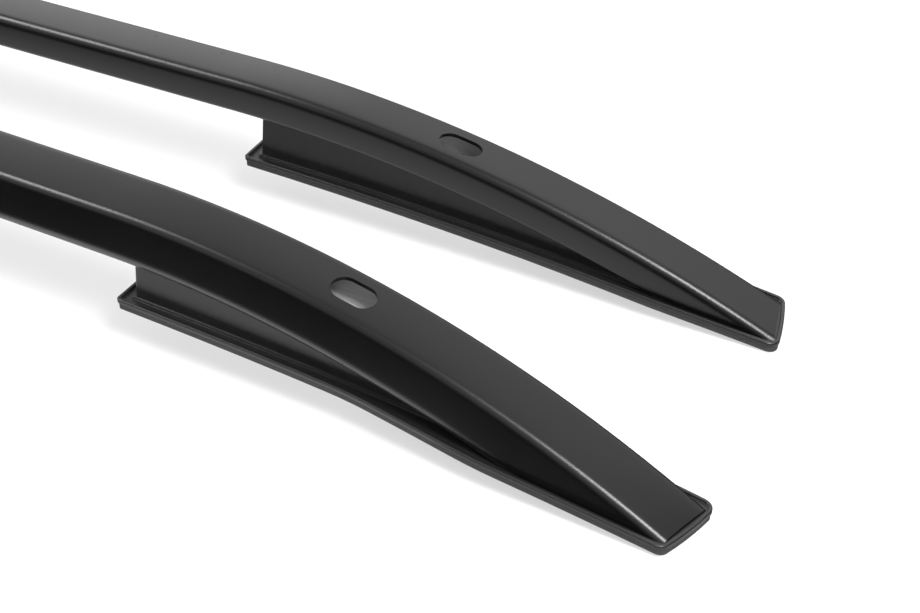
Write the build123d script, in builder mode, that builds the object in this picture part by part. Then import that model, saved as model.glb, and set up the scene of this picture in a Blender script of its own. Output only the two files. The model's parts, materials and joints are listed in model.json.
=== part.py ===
"""Pair of arched roof side rails: hollow bent bars on moulded feet with gaskets, bolts and screws."""
import os
from math import asin, cos, degrees, radians, sin, sqrt

from build123d import *

os.makedirs("parts", exist_ok=True)

# Each rail lies along X with its middle at X = 0, stands on Z = 0 at its two tips and has its outer side at -Y.
rail_length = 1600.0
foot_length = 385.0

# Roof that the feet fit: level in the middle, curved down towards each tip.
roof_radius = 3550.0
roof_level_run = 453.0

# Bar line: the middle of the top face, level, then one round bend down to the tip, leaning to the outer side.
bar_height = 96.0
bend_radius = 857.0
bend_lean = 8.0
bar_tip_setback = 7.0
bar_overrun = 35.0

# Bar section, across and down from the top line. The outer side is the deeper one.
top_half_width = 20.2
top_side_drop = 1.4
top_crown = 0.9
outer_low_across = 26.0
outer_low_depth = 34.6
inner_low_across = 18.1
inner_low_depth = 23.5
outer_bulge = 0.5
inner_bulge = 0.5
top_edge_radius = 6.0
low_edge_radius = 4.4
bar_wall = 2.5

# Access slot in the top face, measured back from the tip.
slot_setback = 227.0
slot_length = 29.5
slot_width = 18.0
slot_depth = 8.0

# Tray of the foot, stacked upwards from the roof.
gasket_thickness = 4.0
tray_floor = 1.6
rim_height = 1.6
rim_width = 2.2
rim_gap = 1.8
gasket_inset = 0.8
base_outer = 27.3
base_inner = 13.7
flare_run = 87.0
base_side_radius = 300.0
tip_corner_radius = 7.0
tip_inner_lead = 13.2
tip_bulge = 1.0
back_corner_radius = 3.5

# Pillar of the foot under the bar.
ledge = 8.4
ledge_back = 9.1
pillar_lean = 3.0
pillar_wall = 3.0
rib_thickness = 2.4
rib_pitch = 52.0
bead_width = 1.2
bead_height = 1.4
cavity_front_setback = 136.0
pillar_corner_radius = 2.0
rim_edge = 0.5

# Fasteners.
bolt_setback = 233.0
bolt_diameter = 8.0
bolt_waist_diameter = 7.2
bolt_head_diameter = 13.0
bolt_head_height = 5.0
bolt_socket = 5.0
bolt_socket_depth = 3.0
bolt_reach = 12.0
bolt_chamfer = 0.8
washer_diameter = 16.0
washer_thickness = 1.6
sleeve_diameter = 12.0
sleeve_rise = 4.5
sleeve_foot_gap = 0.5
boss_wall = 4.0
screw_setbacks = (150.0, 338.0)
screw_diameter = 4.8
screw_head_diameter = 8.5
screw_head_height = 2.8
screw_grip = 6.0
screw_past_wall = 4.0
screw_boss_wall = 2.6

# Clearances.
seat_gap = 0.1
bolt_clearance = 0.2
sleeve_clearance = 0.15
screw_clearance = 0.1
head_clearance = 0.5

# The pair as it lies: distance between the rails' middles, how far one is set back, and their turn in plan.
pair_spacing = 144.0
pair_setback = 20.6
pair_toe = 1.0

# Values that follow from the driving sizes.
tip_x = rail_length / 2
roof_x = tip_x - roof_level_run
roof_centre_z = -sqrt(roof_radius**2 - roof_level_run**2)
floor_height = gasket_thickness + tray_floor
rim_top = floor_height + rim_height
back_x = tip_x - foot_length
under_slope = (outer_low_depth - inner_low_depth) / (outer_low_across + inner_low_across)
under_stretch = sqrt(1 + under_slope**2)
base_middle = (base_inner - base_outer) / 2
tip_half = top_half_width + rim_gap + rim_width
far_above = 150.0
far_below = 60.0
reach_across = 60.0


def roof_z(x, height=0.0):
    """Height of the roof line at x, or of a line that much above it."""
    return roof_centre_z + sqrt((roof_radius + height) ** 2 - (x - roof_x) ** 2)


# The bend starts where its arc just brings the bar's top line down to the tray floor near the tip.
lean_sin = sin(radians(bend_lean))
lean_cos = cos(radians(bend_lean))
bar_tip_x = tip_x - bar_tip_setback
tip_drop = (bar_height - roof_z(bar_tip_x, floor_height)) / lean_cos
bend_run = sqrt(bend_radius**2 - (bend_radius - tip_drop) ** 2)
bend_x = bar_tip_x - bend_run
bend_angle = degrees(asin((bend_run + bar_overrun) / bend_radius))


def on_bar(x, across, depth):
    """Y and Z, at x, of the line along the bar that starts at that place in its section."""
    up = across * lean_sin - depth * lean_cos
    aside = -across * lean_cos - depth * lean_sin
    into_bend = max(x - bend_x, 0.0)
    fall = sqrt((bend_radius + up) ** 2 - into_bend**2) - bend_radius
    return fall * lean_sin - aside * lean_cos, bar_height + fall * lean_cos + aside * lean_sin


def under_z(x, y):
    """Height of the bar's underside at x, y."""
    across = y - on_bar(x, 0, 0)[0]
    return on_bar(x, across, inner_low_depth + (inner_low_across - across) * under_slope)[1]


def lands_at(across, depth):
    """Place along X where a line along the bar comes down to the tray floor."""
    before = bend_x
    after = bar_tip_x + bar_overrun
    for _ in range(40):
        between = (before + after) / 2
        if on_bar(between, across, depth)[1] > roof_z(between, floor_height):
            before = between
        else:
            after = between
    return before


def half_path():
    """Bar line from the middle of the rail to just past the front tip."""
    bend_plane = Plane(origin=(0, 0, bar_height), x_dir=(1, 0, 0), z_dir=(0, -lean_cos, lean_sin))
    with BuildLine(bend_plane) as path:
        Line((0, 0), (bend_x, 0))
        CenterArc((bend_x, -bend_radius), bend_radius, 90, -bend_angle)
    return path.wire()


section_plane = Plane(origin=(0, 0, bar_height), x_dir=(0, 1, 0), z_dir=(1, 0, 0))


def bar_section():
    """Hollow section of the bar: crowned top, leaning sides, underside falling to the outer side."""
    with BuildSketch(section_plane) as section:
        with BuildLine():
            inner_top = (top_half_width, top_side_drop)
            outer_top = (-top_half_width, -top_side_drop)
            inner_low = (inner_low_across, -inner_low_depth)
            outer_low = (-outer_low_across, -outer_low_depth)
            inner_half = (top_half_width + inner_low_across) / 2
            outer_half = (top_half_width + outer_low_across) / 2
            inner_side = (inner_half + inner_bulge, (top_side_drop - inner_low_depth) / 2)
            outer_side = (-outer_half - outer_bulge, -(top_side_drop + outer_low_depth) / 2)
            ThreePointArc(outer_top, (0, top_crown), inner_top)
            ThreePointArc(inner_top, inner_side, inner_low)
            Line(inner_low, outer_low)
            ThreePointArc(outer_low, outer_side, outer_top)
        make_face()
        corners = section.vertices().sort_by(Axis.Y)
        fillet(corners[:2], low_edge_radius)
        fillet(section.vertices().sort_by(Axis.Y)[-2:], top_edge_radius)
        offset(amount=-bar_wall, mode=Mode.SUBTRACT)
    return section.sketch


def above_underside(gap):
    """Section of everything above a line that lies the gap below the bar's underside."""
    low = inner_low_depth + gap * under_stretch
    inner_z = -low + (reach_across - inner_low_across) * under_slope
    outer_z = -low - (reach_across + inner_low_across) * under_slope
    with BuildSketch(section_plane) as section:
        with BuildLine():
            Polyline((reach_across, inner_z), (reach_across, far_above), (-reach_across, far_above),
                     (-reach_across, outer_z), close=True)
        make_face()
    return section.sketch


def roof_band(low, high):
    """Side view of a curved layer between two heights above the roof, longer than the foot."""
    x_from = back_x - reach_across
    x_to = tip_x + reach_across
    with BuildSketch(Plane.XZ) as band:
        with BuildLine():
            x_between = (x_from + x_to) / 2
            lower = ThreePointArc((x_from, roof_z(x_from, low)), (x_between, roof_z(x_between, low)),
                                  (x_to, roof_z(x_to, low)))
            upper = ThreePointArc((x_from, roof_z(x_from, high)), (x_between, roof_z(x_between, high)),
                                  (x_to, roof_z(x_to, high)))
            Line(lower @ 0, upper @ 0)
            Line(lower @ 1, upper @ 1)
        make_face()
    return band.sketch


def below_roof(height):
    """Side view of everything below a line that much above the roof."""
    return roof_band(-far_below, height)


def base_plan(inset):
    """Plan of the tray: blunt tip with its inner corner leading, flared where the bar lands, narrow behind."""
    outer_flare_x = lands_at(-outer_low_across, outer_low_depth)
    inner_flare_x = lands_at(inner_low_across, inner_low_depth)
    outer_room = outer_bulge + rim_gap + rim_width
    inner_room = inner_bulge + rim_gap + rim_width
    outer_flare = (outer_flare_x, on_bar(outer_flare_x, -outer_low_across, outer_low_depth)[0] - outer_room)
    inner_flare = (inner_flare_x, on_bar(inner_flare_x, inner_low_across, inner_low_depth)[0] + inner_room)
    tip_middle = on_bar(bar_tip_x, 0, 0)[0]
    outer_tip = (tip_x - tip_inner_lead, tip_middle - tip_half)
    inner_tip = (tip_x - tip_bulge, tip_middle + tip_half)
    with BuildSketch() as plan:
        with BuildLine():
            ThreePointArc(outer_tip, (tip_x - tip_inner_lead / 2 + tip_bulge, tip_middle), inner_tip)
            Polyline(inner_tip, inner_flare, (inner_flare_x - flare_run, base_inner), (back_x, base_inner),
                     (back_x, -base_outer), (outer_flare_x - flare_run, -base_outer), outer_flare, outer_tip)
        make_face()
        along = plan.vertices().sort_by(Axis.X)
        fillet(along[2:-2], base_side_radius)
        fillet(plan.vertices().sort_by(Axis.X)[:2], back_corner_radius)
        fillet(plan.vertices().sort_by(Axis.X)[-2:], tip_corner_radius)
        if inset > 0:
            offset(amount=-inset)
    return plan.sketch


bar_line = half_path()
across = base_outer + base_inner + reach_across

# Room of the tray's rim and outside it, which the end of the bar is trimmed to.
with BuildPart() as rim_room:
    extrude(below_roof(rim_top + seat_gap), amount=across, both=True)
    extrude(base_plan(rim_width + seat_gap), amount=far_above, both=True, mode=Mode.SUBTRACT)

# Bar: the front half is swept, landed on the tray, slotted and drilled, then mirrored to the rear.
bolt_x = tip_x - bolt_setback
screw_places = [(tip_x - setback, base_middle) for setback in screw_setbacks]
slot_x = tip_x - slot_setback
slot_y, slot_z = on_bar(slot_x, 0, 0)
slot_sin = (slot_x - bend_x) / bend_radius
slot_cos = sqrt(1 - slot_sin**2)
slot_plane = Plane(origin=(slot_x, slot_y, slot_z), x_dir=(slot_cos, -slot_sin * lean_sin, -slot_sin * lean_cos),
                   z_dir=(slot_sin, 0, slot_cos))
hollow_depth = (bar_wall + inner_low_depth) / 2

with BuildPart() as bar:
    sweep(sections=bar_section(), path=bar_line)
    extrude(below_roof(floor_height + seat_gap), amount=across, both=True, mode=Mode.SUBTRACT)
    add(rim_room.part, mode=Mode.SUBTRACT)
    with BuildSketch(slot_plane):
        SlotOverall(slot_length, slot_width)
    extrude(amount=slot_depth, both=True, mode=Mode.SUBTRACT)
    with BuildSketch(Plane.XY.offset(on_bar(bolt_x, 0, hollow_depth)[1])):
        with Locations((bolt_x, base_middle)):
            Circle(sleeve_diameter / 2 + sleeve_clearance)
    extrude(amount=-far_above, mode=Mode.SUBTRACT)
    for place in screw_places:
        with BuildSketch(Plane.XY.offset(on_bar(place[0], 0, hollow_depth)[1])):
            with Locations(place):
                Circle(screw_diameter / 2 + screw_clearance)
        extrude(amount=-far_above, mode=Mode.SUBTRACT)
    mirror(about=Plane.YZ)

# Room above the bar's underside, which the foot's pillar stops at, and the same with the pillar's roof added.
with BuildPart() as bar_room:
    sweep(sections=above_underside(seat_gap), path=bar_line)

with BuildPart() as bar_room_walled:
    sweep(sections=above_underside(seat_gap + pillar_wall), path=bar_line)

# Pillar: upright walls set in from the tray's edge, with a leaning back and a bead along the foot of the walls.
pillar_outer = base_outer - ledge
pillar_inner = base_inner - ledge
pillar_back_x = back_x + ledge_back
pillar_front_x = lands_at(inner_low_across, inner_low_depth)
pillar_foot_z = roof_z(back_x, floor_height)
lean_per_height = pillar_lean / (under_z(back_x, 0) - pillar_foot_z)


def pillar_side(grow):
    """Side view of the pillar with its leaning back edge, grown backwards."""
    low_x = pillar_back_x - grow - lean_per_height * pillar_foot_z
    high_x = pillar_back_x - grow + lean_per_height * (far_above - pillar_foot_z)
    with BuildSketch(Plane.XZ) as side:
        with BuildLine():
            Polyline((low_x, 0), (pillar_front_x, 0), (pillar_front_x, far_above), (high_x, far_above), close=True)
        make_face()
    return side.sketch


with BuildPart() as bead:
    extrude(pillar_side(bead_width), amount=pillar_outer + bead_width)
    extrude(pillar_side(bead_width), amount=-pillar_inner - bead_width)
    extrude(below_roof(floor_height + bead_height), amount=across, both=True, mode=Mode.INTERSECT)

with BuildPart() as pillar:
    extrude(pillar_side(0), amount=pillar_outer)
    extrude(pillar_side(0), amount=-pillar_inner)
    fillet(pillar.faces().sort_by(Axis.X)[0].edges().filter_by(Axis.Y, reverse=True), pillar_corner_radius)
    add(bead.part)
    add(bar_room.part, mode=Mode.SUBTRACT)
    extrude(below_roof(floor_height - tray_floor / 2), amount=across, both=True, mode=Mode.SUBTRACT)

# Tray under the pillar and the bar's end, with a raised rim around its edge.
with BuildPart() as tray:
    extrude(roof_band(gasket_thickness, rim_top), amount=across, both=True)
    extrude(base_plan(0), amount=far_above, both=True, mode=Mode.INTERSECT)
    chamfer(tray.faces().sort_by(Axis.Z)[-1].edges(), rim_edge)

with BuildPart() as recess:
    extrude(base_plan(rim_width), amount=far_above, both=True)
    extrude(below_roof(floor_height), amount=across, both=True, mode=Mode.SUBTRACT)

# Hollow of the foot, open below, with cross ribs and with posts left for the bolt and the screws.
hollow_back_x = pillar_back_x + pillar_lean + pillar_wall
hollow_length = tip_x - cavity_front_setback - hollow_back_x
hollow_width = pillar_outer + pillar_inner - 2 * pillar_wall
hollow_middle = (hollow_back_x + hollow_length / 2, base_middle)
post_radius = sleeve_diameter / 2 + sleeve_clearance + boss_wall
screw_post_radius = screw_head_diameter / 2 + head_clearance + screw_boss_wall

with BuildPart() as hollow:
    with BuildSketch():
        with Locations(hollow_middle):
            Rectangle(hollow_length, hollow_width)
            with GridLocations(rib_pitch, 0, int(hollow_length / rib_pitch), 1):
                Rectangle(rib_thickness, hollow_width, mode=Mode.SUBTRACT)
        with Locations((bolt_x, base_middle)):
            Circle(post_radius, mode=Mode.SUBTRACT)
        with Locations(*screw_places):
            Circle(screw_post_radius, mode=Mode.SUBTRACT)
    extrude(amount=far_above)
    add(bar_room_walled.part, mode=Mode.SUBTRACT)

# Foot: tray and pillar as one moulding, hollowed and bored for the sleeve and the screws.
with BuildPart() as foot:
    add(tray.part)
    add(recess.part, mode=Mode.SUBTRACT)
    add(pillar.part)
    add(hollow.part, mode=Mode.SUBTRACT)
    with BuildSketch():
        with Locations((bolt_x, base_middle)):
            Circle(sleeve_diameter / 2 + sleeve_clearance)
        with Locations(*screw_places):
            Circle(screw_diameter / 2 + screw_clearance)
    extrude(amount=far_above, mode=Mode.SUBTRACT)
    for place in screw_places:
        seat_z = under_z(*place) - screw_grip
        with BuildSketch():
            with Locations(place):
                Circle(screw_head_diameter / 2 + head_clearance)
        extrude(amount=seat_z, mode=Mode.SUBTRACT)

# Gasket between the foot and the roof.
with BuildPart() as gasket:
    extrude(roof_band(0, gasket_thickness - seat_gap), amount=across, both=True)
    extrude(base_plan(gasket_inset), amount=far_above, both=True, mode=Mode.INTERSECT)
    with BuildSketch():
        with Locations((bolt_x, base_middle)):
            Circle(sleeve_diameter / 2 + sleeve_clearance)
    extrude(amount=far_above, both=True, mode=Mode.SUBTRACT)

# Bolt stack, upright: sleeve through foot and bar wall, washer on the sleeve, bolt through both.
roof_at_bolt = roof_z(bolt_x)
sleeve_low = roof_at_bolt + sleeve_foot_gap
sleeve_high = under_z(bolt_x, base_middle) + bar_wall * under_stretch + sleeve_rise
washer_high = sleeve_high + washer_thickness
bolt_low = roof_at_bolt - bolt_reach

with BuildPart() as sleeve:
    with BuildSketch(Plane.XY.offset(sleeve_low)):
        with Locations((bolt_x, base_middle)):
            Circle(sleeve_diameter / 2)
            Circle(bolt_diameter / 2 + bolt_clearance, mode=Mode.SUBTRACT)
    extrude(amount=sleeve_high - sleeve_low)

with BuildPart() as washer:
    with BuildSketch(Plane.XY.offset(sleeve_high)):
        with Locations((bolt_x, base_middle)):
            Circle(washer_diameter / 2)
            Circle(bolt_diameter / 2 + bolt_clearance, mode=Mode.SUBTRACT)
    extrude(amount=washer_thickness)

with BuildPart() as bolt:
    with BuildSketch(Plane.XY.offset(washer_high)):
        with Locations((bolt_x, base_middle)):
            Circle(bolt_head_diameter / 2)
    extrude(amount=bolt_head_height)
    chamfer(bolt.edges().sort_by(Axis.Z)[-1], bolt_chamfer)
    with BuildSketch(Plane.XY.offset(bolt_low)):
        with Locations((bolt_x, base_middle)):
            Circle(bolt_diameter / 2)
    extrude(amount=bolt_reach)
    chamfer(bolt.edges().sort_by(Axis.Z)[0], bolt_chamfer)
    with BuildSketch(Plane.XY.offset(roof_at_bolt)):
        with Locations((bolt_x, base_middle)):
            Circle(bolt_waist_diameter / 2)
    extrude(amount=washer_high - roof_at_bolt)
    with BuildSketch(Plane.XY.offset(washer_high + bolt_head_height)):
        with Locations((bolt_x, base_middle)):
            RegularPolygon(bolt_socket / 2, 6, major_radius=False)
    extrude(amount=-bolt_socket_depth, mode=Mode.SUBTRACT)

# Screws from below that hold the foot to the bar.
with BuildPart() as screws:
    for place in screw_places:
        under_at_screw = under_z(*place)
        with BuildSketch(Plane.XY.offset(under_at_screw - screw_grip)) as screw_head:
            with Locations(place):
                Circle(screw_head_diameter / 2)
        extrude(screw_head.sketch, amount=-screw_head_height)
        with BuildSketch(Plane.XY.offset(under_at_screw - screw_grip)) as screw_shank:
            with Locations(place):
                Circle(screw_diameter / 2)
        extrude(screw_shank.sketch, amount=screw_grip + bar_wall * under_stretch + screw_past_wall)

# Pieces of one rail, then both rails placed: the second one is the mirror image of the first.
front_pieces = {"foot": foot.part, "gasket": gasket.part, "bolt": bolt.part, "washer": washer.part,
                "sleeve": sleeve.part, "foot_screws": screws.part}
right_pieces = {"bar": bar.part}
for piece_name, piece in front_pieces.items():
    right_pieces["front_" + piece_name] = piece
    right_pieces["rear_" + piece_name] = mirror(piece, about=Plane.YZ)

right_plane = Plane(origin=(pair_setback / 2, -pair_spacing / 2, 0)).rotated((0, 0, -pair_toe))
left_plane = Plane(origin=(-pair_setback / 2, pair_spacing / 2, 0)).rotated((0, 0, pair_toe))

for piece_name, piece in right_pieces.items():
    mirrored = mirror(piece, about=Plane.XZ)
    with BuildPart() as right_piece:
        add(right_plane.location * piece)
    right_piece.part.label = "right_" + piece_name
    export_step(right_piece.part, "parts/right_" + piece_name + ".step")
    with BuildPart() as left_piece:
        add(left_plane.location * mirrored)
    left_piece.part.label = "left_" + piece_name
    export_step(left_piece.part, "parts/left_" + piece_name + ".step")
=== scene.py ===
"""Studio scene of a pair of black roof side rails, dressed with procedural materials."""
import json
import math

import bmesh
import bpy
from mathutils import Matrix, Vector


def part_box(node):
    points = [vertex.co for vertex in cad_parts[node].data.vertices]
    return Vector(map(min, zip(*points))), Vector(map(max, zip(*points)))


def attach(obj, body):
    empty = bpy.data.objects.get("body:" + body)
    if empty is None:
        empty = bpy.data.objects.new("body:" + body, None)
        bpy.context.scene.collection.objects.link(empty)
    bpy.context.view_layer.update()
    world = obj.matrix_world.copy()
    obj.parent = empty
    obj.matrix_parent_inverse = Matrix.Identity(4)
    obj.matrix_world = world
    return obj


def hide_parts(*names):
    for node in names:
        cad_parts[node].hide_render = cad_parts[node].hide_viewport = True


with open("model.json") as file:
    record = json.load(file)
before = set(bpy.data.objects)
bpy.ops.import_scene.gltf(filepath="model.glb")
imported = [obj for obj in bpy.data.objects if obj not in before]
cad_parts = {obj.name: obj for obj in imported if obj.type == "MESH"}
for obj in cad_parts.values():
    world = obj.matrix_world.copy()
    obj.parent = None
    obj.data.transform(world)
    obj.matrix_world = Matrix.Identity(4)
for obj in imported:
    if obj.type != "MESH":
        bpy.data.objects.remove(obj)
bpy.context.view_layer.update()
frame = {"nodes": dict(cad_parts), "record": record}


class Signal:
    """A node socket that takes part in plain arithmetic."""

    def __init__(self, tree, socket):
        self.tree = tree
        self.socket = socket

    def node(self, kind, settings=None, inputs=None, output=0):
        """Adds any node to the same tree and returns one of its outputs."""
        made = self.tree.nodes.new(kind)
        for name, value in (settings or {}).items():
            setattr(made, name, value)
        for name, value in (inputs or {}).items():
            self.feed(made.inputs[name], value)
        return Signal(self.tree, made.outputs[output])

    def feed(self, socket, value):
        """Links another signal to the socket, or sets a constant on it."""
        if isinstance(value, Signal):
            self.tree.links.new(value.socket, socket)
        else:
            socket.default_value = value

    def maths(self, operation, first, second):
        return self.node("ShaderNodeMath", {"operation": operation}, {0: first, 1: second})

    def __add__(self, other):
        return self.maths("ADD", self, other)

    def __radd__(self, other):
        return self.maths("ADD", other, self)

    def __sub__(self, other):
        return self.maths("SUBTRACT", self, other)

    def __rsub__(self, other):
        return self.maths("SUBTRACT", other, self)

    def __mul__(self, other):
        return self.maths("MULTIPLY", self, other)

    def __rmul__(self, other):
        return self.maths("MULTIPLY", other, self)

    def __truediv__(self, other):
        return self.maths("DIVIDE", self, other)

    def __rtruediv__(self, other):
        return self.maths("DIVIDE", other, self)

    def below(self, limit):
        """1 where this signal is less than the limit, and 0 elsewhere."""
        return self.maths("LESS_THAN", self, limit)

    def clamped(self):
        """This signal kept between 0 and 1."""
        return self.node("ShaderNodeClamp", {}, {"Value": self})

    def noise(self, scale, detail):
        """Soft noise from 0 to 1 at this place, in features per metre."""
        sockets = {"Vector": self, "Scale": scale, "Detail": detail}
        return self.node("ShaderNodeTexNoise", {}, sockets)

    def stretched(self, x, y, z):
        """This place with each axis scaled by itself."""
        sockets = {0: self, 1: (x, y, z)}
        return self.node("ShaderNodeVectorMath", {"operation": "MULTIPLY"}, sockets)

    def mix(self, dark, light):
        """Colour between two, with this signal as the share of the second."""
        share, first_colour, second_colour, mixed_colour = 0, 6, 7, 2
        sockets = {share: self, first_colour: dark, second_colour: light}
        return self.node("ShaderNodeMix", {"data_type": "RGBA"}, sockets, mixed_colour)


class Finish:
    """A material with one principled surface and the object's own coordinates."""

    edge_samples = 8

    def __init__(self, name):
        self.material = bpy.data.materials.new(name)
        self.material.use_nodes = True
        self.tree = self.material.node_tree
        self.surface = self.tree.nodes["Principled BSDF"]
        coordinates = self.tree.nodes.new("ShaderNodeTexCoord")
        self.place = Signal(self.tree, coordinates.outputs["Object"])

    def set(self, **values):
        """Feeds sockets of the surface, named with _ for a space."""
        for name, value in values.items():
            self.place.feed(self.surface.inputs[name.replace("_", " ")], value)

    def bump(self, height, depth, edge=0.0):
        """Raises the surface by the height signal times a depth, and shades its edges as rounded
        by a radius, both in metres."""
        relief = {"Height": height, "Distance": depth}
        if edge:
            rounding = {"samples": self.edge_samples}
            relief["Normal"] = self.place.node("ShaderNodeBevel", rounding, {"Radius": edge})
        self.set(Normal=self.place.node("ShaderNodeBump", {}, relief))


def grey(value):
    """Linear grey."""
    return (value, value, value, 1.0)


white = grey(1.0)


def satin_coat():
    """Satin black coating: soft cloudiness, fine orange peel and a few dust specks."""
    specks_per_metre = 42.0
    speck_size = 0.032
    finish = Finish("satin_black_coat")
    cloud = finish.place.noise(scale=14.0, detail=3.0)
    peel = finish.place.noise(scale=900.0, detail=1.0)
    grain = finish.place.noise(scale=3200.0, detail=0.0)
    spread = {"Vector": finish.place, "Scale": specks_per_metre}
    speck = finish.place.node("ShaderNodeTexVoronoi", {}, spread).below(speck_size)
    coat = cloud.mix(dark=grey(0.001), light=grey(0.0025))
    finish.set(Base_Color=speck.mix(dark=coat, light=grey(0.003)))
    finish.set(Roughness=0.28 + 0.05 * cloud + 0.04 * peel + 0.3 * speck)
    finish.set(IOR=1.5)
    finish.bump(peel + 0.5 * grain, depth=0.00002)
    return finish.material


def bare_metal():
    """Uncoated inside of the bar, with lines along it."""
    finish = Finish("bare_aluminium")
    lines = finish.place.stretched(5.0, 900.0, 900.0).noise(scale=1.0, detail=3.0)
    cloud = finish.place.noise(scale=60.0, detail=3.0)
    finish.set(Base_Color=lines.mix(dark=grey(0.34), light=grey(0.66)))
    finish.set(Metallic=0.25)
    finish.set(Roughness=0.36 + 0.15 * lines + 0.1 * cloud)
    finish.bump(lines, depth=0.00008)
    return finish.material


def moulded_plastic():
    """Fine-grained black moulding with soft edges, glossier than the gasket."""
    finish = Finish("grained_black_plastic")
    cloud = finish.place.noise(scale=22.0, detail=3.0)
    grain = finish.place.noise(scale=2200.0, detail=2.0)
    finish.set(Base_Color=cloud.mix(dark=grey(0.007), light=grey(0.012)))
    finish.set(IOR=1.6)
    finish.set(Roughness=0.3 + 0.06 * cloud + 0.08 * grain)
    finish.bump(grain, depth=0.00003, edge=0.0012)
    return finish.material


def gasket_rubber():
    """Dark grey rubber with fine lengthwise lines and a chalky bloom."""
    finish = Finish("dark_gasket_rubber")
    cloud = finish.place.noise(scale=30.0, detail=4.0)
    lines = finish.place.stretched(14.0, 60.0, 1500.0).noise(scale=1.0, detail=2.0)
    bloom = 0.5 * cloud + 0.5 * lines
    finish.set(Base_Color=bloom.mix(dark=grey(0.018), light=grey(0.045)))
    finish.set(Roughness=0.58 + 0.12 * cloud + 0.1 * lines)
    finish.bump(lines, depth=0.00025)
    return finish.material


def plated_steel():
    """Zinc-plated steel, lightly clouded."""
    finish = Finish("plated_steel")
    cloud = finish.place.noise(scale=160.0, detail=3.0)
    fine = finish.place.noise(scale=2600.0, detail=2.0)
    finish.set(Base_Color=cloud.mix(dark=grey(0.48), light=grey(0.62)))
    finish.set(Metallic=1.0)
    finish.set(Roughness=0.24 + 0.14 * cloud + 0.08 * fine)
    finish.bump(fine, depth=0.00003)
    return finish.material


finishes = {"bar_paint": satin_coat(), "foot_plastic": moulded_plastic(),
            "gasket_rubber": gasket_rubber(), "steel": plated_steel()}
slot_of = {sub["node"]: sub["material_slot"] for sub in frame["record"]["subparts"]}
for name, node in frame["nodes"].items():
    for holder in node.material_slots:
        holder.material = finishes[slot_of[name]]


def linked(name, data):
    """New object in the scene."""
    made = bpy.data.objects.new(name, data)
    bpy.context.scene.collection.objects.link(made)
    return made


def turned_outward(mesh, merge_within=0.0):
    """Turns all faces of a mesh outward, after merging points that lie that close in metres."""
    loose = bmesh.new()
    loose.from_mesh(mesh)
    if merge_within:
        bmesh.ops.remove_doubles(loose, verts=loose.verts, dist=merge_within)
    bmesh.ops.recalc_face_normals(loose, faces=loose.faces)
    loose.to_mesh(mesh)
    loose.free()


def made_plain(piece):
    """Makes what a piece's modifiers give its own mesh, and removes them."""
    view = bpy.context.evaluated_depsgraph_get()
    plain = bpy.data.meshes.new_from_object(piece.evaluated_get(view))
    piece.modifiers.clear()
    piece.data = plain


sharp_from = math.radians(30.0)


def smoothed(mesh):
    """Shades a mesh smooth, apart from its sharp edges."""
    mesh.shade_smooth()
    mesh.set_sharp_from_angle(angle=sharp_from)


# Sizes of the bar and its seats, in millimetres, as the solids have them.
tip_x = 800.0
roof_radius = 3550.0
roof_level_run = 453.0
floor_height = 5.6
seat_gap = 0.1
bar_height = 96.0
bend_radius = 857.0
bend_lean = math.radians(8.0)
bar_tip_x = tip_x - 7.0
bar_overrun = 35.0
outer_top = Vector((-20.2, -1.4))
inner_top = Vector((20.2, 1.4))
inner_low = Vector((18.1, -23.5))
outer_low = Vector((-26.0, -34.6))
top_crown = 0.9
inner_bulge = 0.5
outer_bulge = 0.5
top_edge_radius = 6.0
low_edge_radius = 4.4
bar_wall = 2.5
slot_x = tip_x - 227.0
slot_length = 29.5
slot_width = 18.0
slot_depth = 8.0
hole_y = -6.8
hole_top = -13.0
hole_run = 40.0
holes = ((tip_x - 233.0, 6.15), (tip_x - 150.0, 2.5), (tip_x - 338.0, 2.5))
tip_trim = (Vector((tip_x - 13.2, -35.5)), Vector((tip_x - 1.0, 12.9)))
tip_trim_inset = 2.3
pair_spacing = 144.0
pair_setback = 20.6
pair_toe = math.radians(1.0)
mm_per_metre = 1000

# How finely the bar and its cuts are divided.
side_steps = 12
corner_steps = 9
bend_steps = 56
slot_points = 48
hole_points = 32

# Reach of the blocks that trim the bar's ends, in millimetres.
landing_start = 380.0
landing_step = 20.0
landing_steps = 24
landing_bottom = -60.0
landing_half_width = 100.0
tip_block_overrun = 30.0
tip_block_length = 80.0
tip_block_bottom = -20.0
tip_block_top = 12.0

# Shading of the bar's low outer edge: how far from the corner it is eased and over what width,
# how near to the section a point has to lie, in millimetres, and how much a normal may turn.
soft_reach = 18.0
soft_width = 12.0
soft_match = 0.3
soft_limit = 0.6


def roof_z(x, height):
    """Height at x of a line that much above the roof."""
    from_middle = x - (tip_x - roof_level_run)
    centre_drop = math.sqrt(roof_radius**2 - roof_level_run**2)
    return math.sqrt((roof_radius + height) ** 2 - from_middle**2) - centre_drop


lean_sin = math.sin(bend_lean)
lean_cos = math.cos(bend_lean)
tip_drop = (bar_height - roof_z(bar_tip_x, floor_height)) / lean_cos
bend_run = math.sqrt(bend_radius**2 - (bend_radius - tip_drop) ** 2)
bend_x = bar_tip_x - bend_run
bend_angle = math.asin((bend_run + bar_overrun) / bend_radius)


def bowed(start, end, bow, share):
    """Point and direction on a side that bows outward by that much, at a share of its length."""
    run = end - start
    out = Vector((-run.y, run.x)).normalized()
    point = start + run * share + out * (4 * bow * share * (1 - share))
    heading = (run + out * (4 * bow * (1 - 2 * share))).normalized()
    return point, heading


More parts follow.
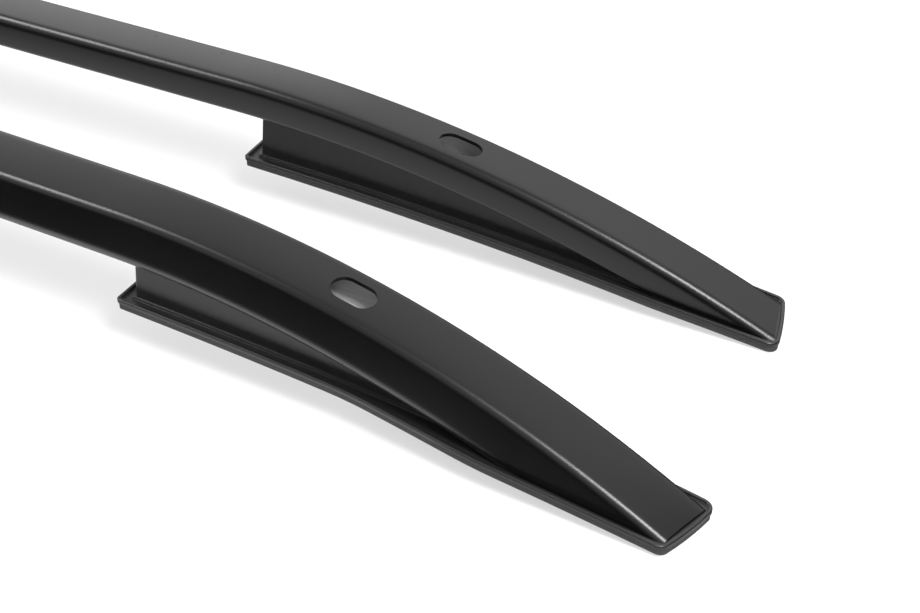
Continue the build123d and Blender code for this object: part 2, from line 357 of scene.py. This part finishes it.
def bar_outline():
    """Section of the bar as points across and up from the top line, clockwise, with rounded
    corners."""
    sides = ((outer_top, inner_top, top_crown), (inner_top, inner_low, inner_bulge),
             (inner_low, outer_low, 0.0), (outer_low, outer_top, outer_bulge))
    radii = (top_edge_radius, low_edge_radius, low_edge_radius, top_edge_radius)
    lengths = [(end - start).length for start, end, bow in sides]
    turns = []
    for number, side in enumerate(sides):
        arriving = bowed(*side, 1.0)[1]
        leaving = bowed(*sides[(number + 1) % len(sides)], 0.0)[1]
        turns.append(arriving.angle(leaving))
    setbacks = [radius * math.tan(turn / 2) for radius, turn in zip(radii, turns)]
    outline = []
    for number, side in enumerate(sides):
        following = (number + 1) % len(sides)
        first = setbacks[number - 1] / lengths[number]
        last = 1 - setbacks[number] / lengths[number]
        for step in range(side_steps + 1):
            outline.append(bowed(*side, first + (last - first) * step / side_steps)[0])
        start, heading = bowed(*side, last)
        end, onward = bowed(*sides[following], setbacks[number] / lengths[following])
        pull = 4 / 3 * math.tan(turns[number] / 4) * radii[number]
        corners = (start, start + heading * pull, end - onward * pull, end)
        for step in range(1, corner_steps):
            t = step / corner_steps
            weights = ((1 - t) ** 3, 3 * t * (1 - t) ** 2, 3 * t * t * (1 - t), t**3)
            outline.append(sum((c * w for c, w in zip(corners, weights)), Vector((0.0, 0.0))))
    return outline


def inset(outline, depth):
    """The same outline moved inward."""
    moved = []
    for number, point in enumerate(outline):
        along = (outline[(number + 1) % len(outline)] - outline[number - 1]).normalized()
        moved.append(point + Vector((along.y, -along.x)) * depth)
    return moved


def on_bend(point, angle):
    """Place of a section point once the bar has bent down by the angle."""
    across, up = point
    rise = across * lean_sin + up * lean_cos
    aside = -across * lean_cos + up * lean_sin
    out = (bend_radius + rise) * math.cos(angle) - bend_radius
    return Vector((bend_x + (bend_radius + rise) * math.sin(angle),
                   out * lean_sin - aside * lean_cos,
                   bar_height + out * lean_cos + aside * lean_sin))


def rail_turn(side):
    """Sign of a rail, of which the left one is the mirror image, and its turn as sine and cosine."""
    sign = 1.0 if side == "right" else -1.0
    turn = -sign * pair_toe
    return sign, math.sin(turn), math.cos(turn)


def placed(point, side):
    """A point of one rail, moved to where that rail lies, in metres."""
    sign, turn_sin, turn_cos = rail_turn(side)
    x, y, z = point.x, sign * point.y, point.z
    return Vector((x * turn_cos - y * turn_sin + sign * pair_setback / 2,
                   x * turn_sin + y * turn_cos - sign * pair_spacing / 2, z)) / mm_per_metre


def section_spot(place, side):
    """Section point, bend angle and end of the rail at a place in metres: placed and on_bend
    in reverse."""
    sign, turn_sin, turn_cos = rail_turn(side)
    x = place.x * mm_per_metre - sign * pair_setback / 2
    y = place.y * mm_per_metre + sign * pair_spacing / 2
    x, y = x * turn_cos + y * turn_sin, sign * (y * turn_cos - x * turn_sin)
    above = place.z * mm_per_metre - bar_height
    out = y * lean_sin + above * lean_cos
    aside = above * lean_sin - y * lean_cos
    run = max(abs(x) - bend_x, 0.0)
    angle = math.atan2(run, bend_radius + out)
    rise = math.hypot(run, bend_radius + out) - bend_radius
    spot = Vector((rise * lean_sin - aside * lean_cos, rise * lean_cos + aside * lean_sin))
    return spot, angle, 1.0 if x > 0 else -1.0


def rail_direction(heading, angle, end, side):
    """Direction that a section's heading has on a rail, at a bend angle near one end."""
    sign, turn_sin, turn_cos = rail_turn(side)
    up = heading.x * lean_sin + heading.y * lean_cos
    aside = heading.y * lean_sin - heading.x * lean_cos
    x = end * up * math.sin(angle)
    y = sign * (up * math.cos(angle) * lean_sin - aside * lean_cos)
    z = up * math.cos(angle) * lean_cos + aside * lean_sin
    return Vector((x * turn_cos - y * turn_sin, x * turn_sin + y * turn_cos, z))


def solid(name, points, faces, side, marks=None):
    """Mesh object from a rail's points, with all faces turned outward."""
    mesh = bpy.data.meshes.new(name)
    mesh.from_pydata([placed(point, side) for point in points], [], faces)
    if marks:
        mesh.polygons.foreach_set("material_index", marks)
    turned_outward(mesh)
    return linked(name, mesh)


def prism(rows):
    """Points and faces of a solid between two loops of the same count."""
    low, high = rows
    count = len(low)
    faces = [tuple(range(count))[::-1], tuple(range(count, 2 * count))]
    for k in range(count):
        after = (k + 1) % count
        faces.append((k, after, count + after, count + k))
    return list(low) + list(high), faces


def joined(parts):
    """Several solids as one list of points and faces."""
    points = []
    faces = []
    for part_points, part_faces in parts:
        faces += [tuple(k + len(points) for k in face) for face in part_faces]
        points += part_points
    return points, faces


def both_ends(part):
    """A solid at the front and its mirror image at the rear."""
    points, faces = part
    return joined([part, ([Vector((-p.x, p.y, p.z)) for p in points], faces)])


def bar_solid(side):
    """Hollow bar along its line: rear bend, level run, front bend."""
    outer = bar_outline()
    inner = inset(outer, bar_wall)
    count = len(outer)
    stations = [(-1, bend_angle * k / bend_steps) for k in range(bend_steps, -1, -1)]
    stations += [(1, bend_angle * k / bend_steps) for k in range(bend_steps + 1)]
    points = []
    for sign, angle in stations:
        for point in outer + inner:
            place = on_bend(point, angle)
            points.append(Vector((sign * place.x, place.y, place.z)))
    faces = []
    marks = []
    for ring in range(len(stations) - 1):
        here = ring * 2 * count
        there = here + 2 * count
        for k in range(count):
            after = (k + 1) % count
            faces.append((here + k, there + k, there + after, here + after))
            faces.append((here + count + after, there + count + after,
                          there + count + k, here + count + k))
            marks += [0, 1]
    for ring in (0, len(stations) - 1):
        here = ring * 2 * count
        for k in range(count):
            after = (k + 1) % count
            faces.append((here + k, here + after, here + count + after, here + count + k))
            marks.append(0)
    return solid(side + "_bar_skin", points, faces, side, marks)


def landing():
    """Everything below the tray floors."""
    xs = [landing_start + landing_step * k for k in range(landing_steps + 1)]
    profile = [(x, roof_z(x, floor_height + seat_gap)) for x in xs]
    profile += [(xs[-1], landing_bottom), (xs[0], landing_bottom)]
    rows = [[Vector((x, y, z)) for x, z in profile]
            for y in (landing_half_width, -landing_half_width)]
    return both_ends(prism(rows))


def tip_block():
    """What lies in front of the tray's recess at the tips, and below the rim's top."""
    outer, inner = tip_trim
    along = (inner - outer).normalized()
    back = Vector((-along.y, along.x)) * tip_trim_inset
    first = outer - along * tip_block_overrun + back
    second = inner + along * tip_block_overrun + back
    front = Vector((tip_block_length, 0.0))
    plan = [first, first + front, second + front, second]
    rows = [[Vector((p.x, p.y, z)) for p in plan] for z in (tip_block_bottom, tip_block_top)]
    return both_ends(prism(rows))


def circle(count):
    """Points on a circle of radius 1."""
    turns = [2 * math.pi * k / count for k in range(count)]
    return [(math.cos(turn), math.sin(turn)) for turn in turns]


def openings():
    """Access slots through the top wall, and the holes through the lower wall."""
    angle = math.asin((slot_x - bend_x) / bend_radius)
    middle = on_bend(Vector((0.0, 0.0)), angle)
    fall = -math.sin(angle)
    ahead = Vector((math.cos(angle), fall * lean_sin, fall * lean_cos))
    upward = Vector((math.sin(angle), 0.0, math.cos(angle)))
    upward = (upward - ahead * upward.dot(ahead)).normalized()
    sideways = upward.cross(ahead)
    half_run = (slot_length - slot_width) / 2
    half_width = slot_width / 2
    plan = []
    for u, v in circle(slot_points):
        shift = half_run if u > 0 else -half_run
        plan.append((shift + half_width * u, half_width * v))
    rows = [[middle + ahead * u + sideways * v + upward * rise for u, v in plan]
            for rise in (-slot_depth, slot_depth)]
    cuts = [prism(rows)]
    for x, radius in holes:
        hole_angle = math.asin(max(x - bend_x, 0.0) / bend_radius)
        top = on_bend(Vector((0.0, hole_top)), hole_angle).z
        rows = [[Vector((x + radius * u, hole_y + radius * v, z)) for u, v in circle(hole_points)]
                for z in (top - hole_run, top)]
        cuts.append(prism(rows))
    return both_ends(joined(cuts))


def cut(piece, side, *cutters):
    """Takes solids away from a piece and leaves it a plain mesh."""
    tools = [solid("cutter", *cutter, side) for cutter in cutters]
    for tool in tools:
        taking = piece.modifiers.new("cut", "BOOLEAN")
        taking.operation = "DIFFERENCE"
        taking.solver = "EXACT"
        taking.object = tool
    made_plain(piece)
    for tool in tools:
        bpy.data.objects.remove(tool)


def soft_headings(outline):
    """Outward direction at each outline point, eased over the low outer corner, and None away
    from it."""
    count = len(outline)
    steps = [(outline[(k + 1) % count] - outline[k - 1]) for k in range(count)]
    outward = [Vector((-step.y, step.x)).normalized() for step in steps]
    headings = []
    for point in outline:
        share = 1 - (point - outer_low).length / soft_reach
        if share <= 0:
            headings.append(None)
            continue
        total = Vector((0.0, 0.0))
        for other, normal, step in zip(outline, outward, steps):
            nearness = max(0.0, soft_width * share - (other - point).length)
            total += normal * nearness * step.length
        headings.append(total.normalized() if total.length > 0 else None)
    return headings


def eased_low_edge(skin, side):
    """Gives the bar's low outer edge the shading of a softer round, without moving it."""
    outline = bar_outline()
    headings = soft_headings(outline)
    directions = []
    for vertex in skin.data.vertices:
        spot, angle, end = section_spot(vertex.co, side)
        gap, nearest = min(((spot - point).length, k) for k, point in enumerate(outline))
        heading = headings[nearest]
        if gap < soft_match and heading is not None:
            directions.append(rail_direction(heading, angle, end, side))
        else:
            directions.append(None)
    normals = [Vector(corner.vector) for corner in skin.data.corner_normals]
    for face in skin.data.polygons:
        for corner in face.loop_indices:
            eased = directions[skin.data.loops[corner].vertex_index]
            if eased is not None and eased.dot(normals[corner]) > soft_limit:
                normals[corner] = eased
    skin.data.normals_split_custom_set(normals)


bare = bare_metal()
for side in ("right", "left"):
    skin = bar_solid(side)
    skin.data.materials.append(finishes["bar_paint"])
    skin.data.materials.append(bare)
    cut(skin, side, landing(), tip_block(), openings())
    smoothed(skin.data)
    eased_low_edge(skin, side)
    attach(skin, "root")
    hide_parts(side + "_bar")

# Thread of the bolts' free ends, in millimetres, and how finely it is divided.
thread_diameter = 8.0
thread_pitch = 1.25
thread_depth = 0.58
thread_length = 12.0
turn_points = 32
notch_points = 4
merge_distance = 1e-6


def thread_tree():
    """Node tree that cuts a screw thread into a bolt, upwards from its foot."""
    tree = bpy.data.node_groups.new("screw_thread", "GeometryNodeTree")
    inputs = {"Bolt": "Geometry", "Foot": "Vector", "Radius": "Float", "Pitch": "Float",
              "Length": "Float", "Depth": "Float", "Finish": "Material"}
    for name, kind in inputs.items():
        tree.interface.new_socket(name, in_out="INPUT", socket_type="NodeSocket" + kind)
    tree.interface.new_socket("Bolt", in_out="OUTPUT", socket_type="NodeSocketGeometry")
    entry = tree.nodes.new("NodeGroupInput")
    given = {socket.name: Signal(tree, socket) for socket in entry.outputs}
    bolt = given["Bolt"]
    helix = bolt.node("GeometryNodeCurveSpiral", {}, {
        "Resolution": turn_points, "Rotations": given["Length"] / given["Pitch"],
        "Start Radius": given["Radius"], "End Radius": given["Radius"],
        "Height": given["Length"]})
    notch = bolt.node("GeometryNodeCurvePrimitiveCircle", {}, {
        "Resolution": notch_points, "Radius": given["Depth"]})
    groove = bolt.node("GeometryNodeCurveToMesh", {}, {
        "Curve": helix, "Profile Curve": notch, "Fill Caps": True})
    raised = bolt.node("GeometryNodeTransform", {}, {
        "Geometry": groove, "Translation": given["Foot"]})
    grooved = bolt.node("GeometryNodeMeshBoolean", {"operation": "DIFFERENCE", "solver": "EXACT"}, {
        "Mesh 1": bolt, "Mesh 2": raised})
    single = bolt.node("GeometryNodeRealizeInstances", {}, {"Geometry": grooved})
    dressed = bolt.node("GeometryNodeSetMaterial", {}, {
        "Geometry": single, "Material": given["Finish"]})
    bolt.feed(tree.nodes.new("NodeGroupOutput").inputs["Bolt"], dressed)
    return tree


def threaded(name, node_name, tree):
    """Copy of a bolt with a thread on its free end, as a plain mesh."""
    mesh = frame["nodes"][node_name].data.copy()
    turned_outward(mesh, merge_distance)
    piece = linked(name, mesh)
    low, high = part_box(node_name)
    pitch = thread_pitch / mm_per_metre
    sizes = {"Foot": ((low[0] + high[0]) / 2, (low[1] + high[1]) / 2, low[2] - pitch),
             "Radius": thread_diameter / 2 / mm_per_metre,
             "Pitch": pitch,
             "Length": thread_length / mm_per_metre,
             "Depth": thread_depth / mm_per_metre,
             "Finish": finishes["steel"]}
    cutting = piece.modifiers.new("thread", "NODES")
    cutting.node_group = tree
    for socket in tree.interface.items_tree:
        if socket.in_out == "INPUT" and socket.name in sizes:
            cutting[socket.identifier] = sizes[socket.name]
    made_plain(piece)
    smoothed(piece.data)
    return piece


thread = thread_tree()
for corner in ("right_front", "right_rear", "left_front", "left_rear"):
    bolt_piece = threaded(corner + "_threaded_bolt", corner + "_bolt", thread)
    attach(bolt_piece, "root")
    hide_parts(corner + "_bolt")

# Floor as white as the backdrop, with a light shadow. Reflections look through it to the pale
# ground of the surroundings.
floor_reach = 6.0
shadow_relief = 0.55
floor_mesh = bpy.data.meshes.new("floor")
floor_corners = [(-floor_reach, -floor_reach, 0.0), (floor_reach, -floor_reach, 0.0),
                 (floor_reach, floor_reach, 0.0), (-floor_reach, floor_reach, 0.0)]
floor_mesh.from_pydata(floor_corners, [], [(0, 1, 2, 3)])
floor = linked("floor", floor_mesh)
floor.visible_glossy = False
floor_finish = Finish("pale_floor")
floor_cloud = floor_finish.place.noise(scale=3.0, detail=2.0)
floor_finish.set(Base_Color=floor_cloud.mix(dark=grey(0.9), light=grey(0.92)))
floor_finish.set(Roughness=0.9)
surface = Signal(floor_finish.tree, floor_finish.surface.outputs["BSDF"])
glow = surface.node("ShaderNodeEmission", {}, {"Color": white, "Strength": 1.0})
watched = surface.node("ShaderNodeLightPath", output="Is Camera Ray")
lightened = {0: shadow_relief * watched, 1: surface, 2: glow}
softened = surface.node("ShaderNodeMixShader", {}, lightened)
surface.feed(floor_finish.tree.nodes["Material Output"].inputs["Surface"], softened)
floor.data.materials.append(floor_finish.material)

# White backdrop for the camera and white light for matt surfaces. Reflections see a room: pale
# ground, dark walls and a dim ceiling, which begin at these heights of a unit direction.
ground_height = -0.49
ground_blend = 0.12
ceiling_height = 0.45
ceiling_blend = 0.4
world = bpy.data.worlds.new("backdrop")
bpy.context.scene.world = world
world.use_nodes = True
backdrop = world.node_tree.nodes["Background"]
path = world.node_tree.nodes.new("ShaderNodeLightPath")
seen = Signal(world.node_tree, path.outputs["Is Camera Ray"])
mirrored = Signal(world.node_tree, path.outputs["Is Glossy Ray"])
compass = world.node_tree.nodes.new("ShaderNodeTexCoord")
heading = Signal(world.node_tree, compass.outputs["Generated"])
height = heading.node("ShaderNodeSeparateXYZ", {}, {"Vector": heading}, "Z")
ground = ((ground_height - height) / ground_blend).clamped()
ceiling = ((height - ceiling_height) / ceiling_blend).clamped()
walls = ceiling.mix(dark=grey(0.01), light=grey(0.5))
room = ground.mix(dark=walls, light=white)
unseen = mirrored.mix(dark=white, light=room)
seen.feed(backdrop.inputs["Color"], seen.mix(dark=unseen, light=white))
backdrop.inputs["Strength"].default_value = 1.0


def softbox(name, place, aim, size, power):
    """Rectangular lamp at a place, turned to a point, in metres and watts."""
    lamp = bpy.data.lights.new(name, "AREA")
    lamp.shape = "RECTANGLE"
    lamp.size, lamp.size_y = size
    lamp.energy = power
    held = linked(name, lamp)
    held.location = place
    x, y, z = (a - p for a, p in zip(aim, place))
    held.rotation_euler = (math.atan2(math.hypot(x, y), -z), 0.0, math.atan2(-x, y))
    return held


# The right softbox lights the part. The other lamps are seen in reflections alone: a softbox for
# the edges, cards behind the rails for their tops, cards in front for the views from behind, and
# a strip on the floor for the near foot.
softbox("right_softbox", (1.5, -0.5, 1.45), (0.75, -0.1, 0.0), (0.5, 0.7), 34.0)
mirror_lamps = (
    ("left_softbox", (-1.02, -0.4, 1.5), (-0.1, -0.1, 0.0), (0.6, 1.0), 28.0),
    ("low_left_card", (-0.9, 1.4, 0.65), (0.1, 0.0, 0.05), (1.4, 0.9), 6.4),
    ("low_right_card", (0.8, 1.4, 0.65), (0.6, 0.0, 0.05), (2.0, 0.9), 5.3),
    ("high_left_card", (-0.9, 1.4, 1.7), (0.1, 0.0, 0.05), (1.4, 1.2), 3.2),
    ("high_right_card", (0.8, 1.4, 1.7), (0.6, 0.0, 0.05), (2.0, 1.2), 6.2),
    ("front_left_card", (-0.9, -1.7, 1.0), (-0.3, 0.0, 0.05), (1.6, 1.2), 4.5),
    ("front_right_card", (0.9, -1.7, 1.0), (0.3, 0.0, 0.05), (1.6, 1.2), 3.5),
    ("floor_card", (0.46, -0.132, 0.001), (0.46, -0.132, 1.0), (0.36, 0.044), 0.027))
for lamp_sizes in mirror_lamps:
    softbox(*lamp_sizes).visible_diffuse = False

# Camera at the photograph's viewing angle: lens in millimetres, place in metres, and the dip of
# its line of sight and its turn in degrees.
focal_length = 73.394
sensor_width = 36.0
camera_place = (1.04299, -0.81521, 0.72387)
camera_dip = 37.1504
camera_turn = 28.1356
lens = bpy.data.cameras.new("camera")
lens.sensor_fit = "HORIZONTAL"
lens.sensor_width = sensor_width
lens.lens = focal_length
camera = linked("camera", lens)
camera.location = camera_place
camera.rotation_euler = (math.radians(90.0 - camera_dip), 0.0, math.radians(camera_turn))
bpy.context.scene.camera = camera
bpy.context.scene.view_settings.view_transform = "Standard"

bpy.context.view_layer.update()
